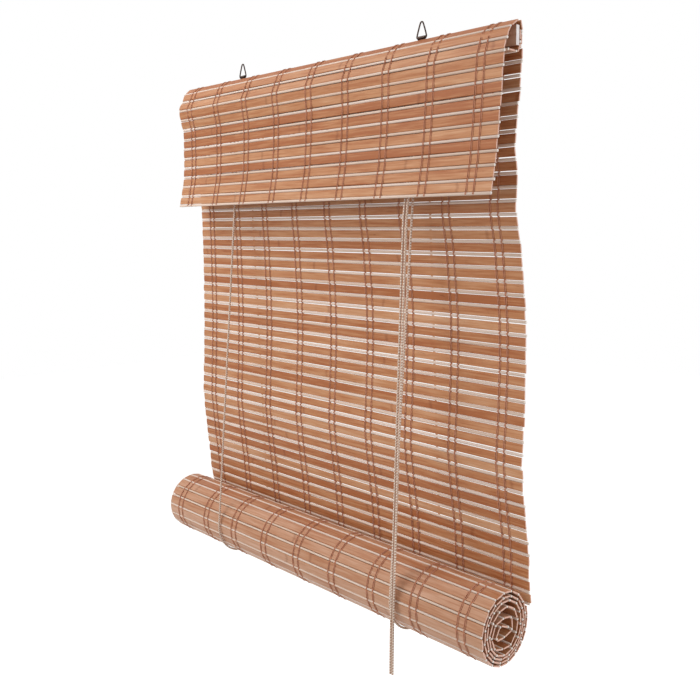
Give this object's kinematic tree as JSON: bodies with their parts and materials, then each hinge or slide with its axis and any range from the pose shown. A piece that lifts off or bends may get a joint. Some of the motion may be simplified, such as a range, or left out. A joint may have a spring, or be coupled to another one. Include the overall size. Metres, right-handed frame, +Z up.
{
  "type": "roll-up bamboo blind",
  "caption": "Roll-up blind of flat bamboo slats and thin round sticks tied by warp threads, with a folded valance, wire hangers, lift cords and the lower mat rolled up.",
  "frame": {"origin": "midway between the two points where the hanger loops hang on their hooks", "axes": "+X to the right seen from the room, -Y towards the room, +Z up"},
  "size_m": [0.605, 0.0939, 0.7369],
  "materials": {
    "bamboo": "satin",
    "batten_wood": "matte",
    "warp_thread": "matte",
    "cord": "matte",
    "dark_wire": "satin",
    "zinc_steel": "satin",
    "nylon": "matte"
  },
  "bodies": {
    "head": {"head_batten": "batten_wood", "head_wrap": "bamboo", "valance_mat": "bamboo", "valance_threads": "warp_thread", "curtain_mat": "bamboo", "curtain_threads": "warp_thread", "hanger_strap_left": "dark_wire", "hanger_strap_right": "dark_wire", "hanger_screws": "zinc_steel", "cord_eye_left": "zinc_steel", "lock_housing": "zinc_steel", "lock_guide_pin": "zinc_steel", "lock_pawl_pin": "zinc_steel", "lock_screws": "zinc_steel", "left_lift_cord": "cord", "right_lift_cord": "cord"},
    "lift_slings": {"left_cord_sling": "cord", "right_cord_sling": "cord"},
    "roll": {"roll_mat": "bamboo"},
    "left_hanger": {"hanger_ring_left": "dark_wire"},
    "right_hanger": {"hanger_ring_right": "dark_wire"},
    "pull_cords": {"pull_cord_left": "cord", "pull_cord_right": "cord"},
    "pawl": {"lock_pawl": "nylon"}
  },
  "joints": [
    {"name": "roll_lift", "type": "slide", "parent": "head", "child": "lift_slings", "axis": [0, 0.035, 0.9994], "range_m": [0, 0.38], "deforming": ["curtain_mat", "curtain_threads", "left_lift_cord", "right_lift_cord"]},
    {"name": "roll_spin", "type": "hinge", "parent": "lift_slings", "child": "roll", "pos_m": [0, -0.004, -0.653], "axis": [1, 0, 0], "range_deg": [-530, 0]},
    {"name": "pull_draw", "type": "slide", "parent": "head", "child": "pull_cords", "axis": [0, 0, 1], "range_m": [-0.76, 0], "deforming": ["pull_cord_left", "pull_cord_right"]},
    {"name": "left_hanger_swing", "type": "hinge", "parent": "head", "child": "left_hanger", "pos_m": [-0.168, 0, -0.0166], "axis": [1, 0, 0], "range_deg": [-90, 90]},
    {"name": "right_hanger_swing", "type": "hinge", "parent": "head", "child": "right_hanger", "pos_m": [0.168, 0, -0.0166], "axis": [1, 0, 0], "range_deg": [-90, 90]},
    {"name": "pawl_release", "type": "hinge", "parent": "head", "child": "pawl", "pos_m": [0.182, -0.0045, -0.0664], "axis": [0, 1, 0], "range_deg": [0, 35]}
  ],
  "couplings": [
    {"joint": "roll_spin", "follows": "roll_lift", "rad_per_m": -24.096},
    {"joint": "pull_draw", "follows": "roll_lift", "ratio": -2}
  ]
}
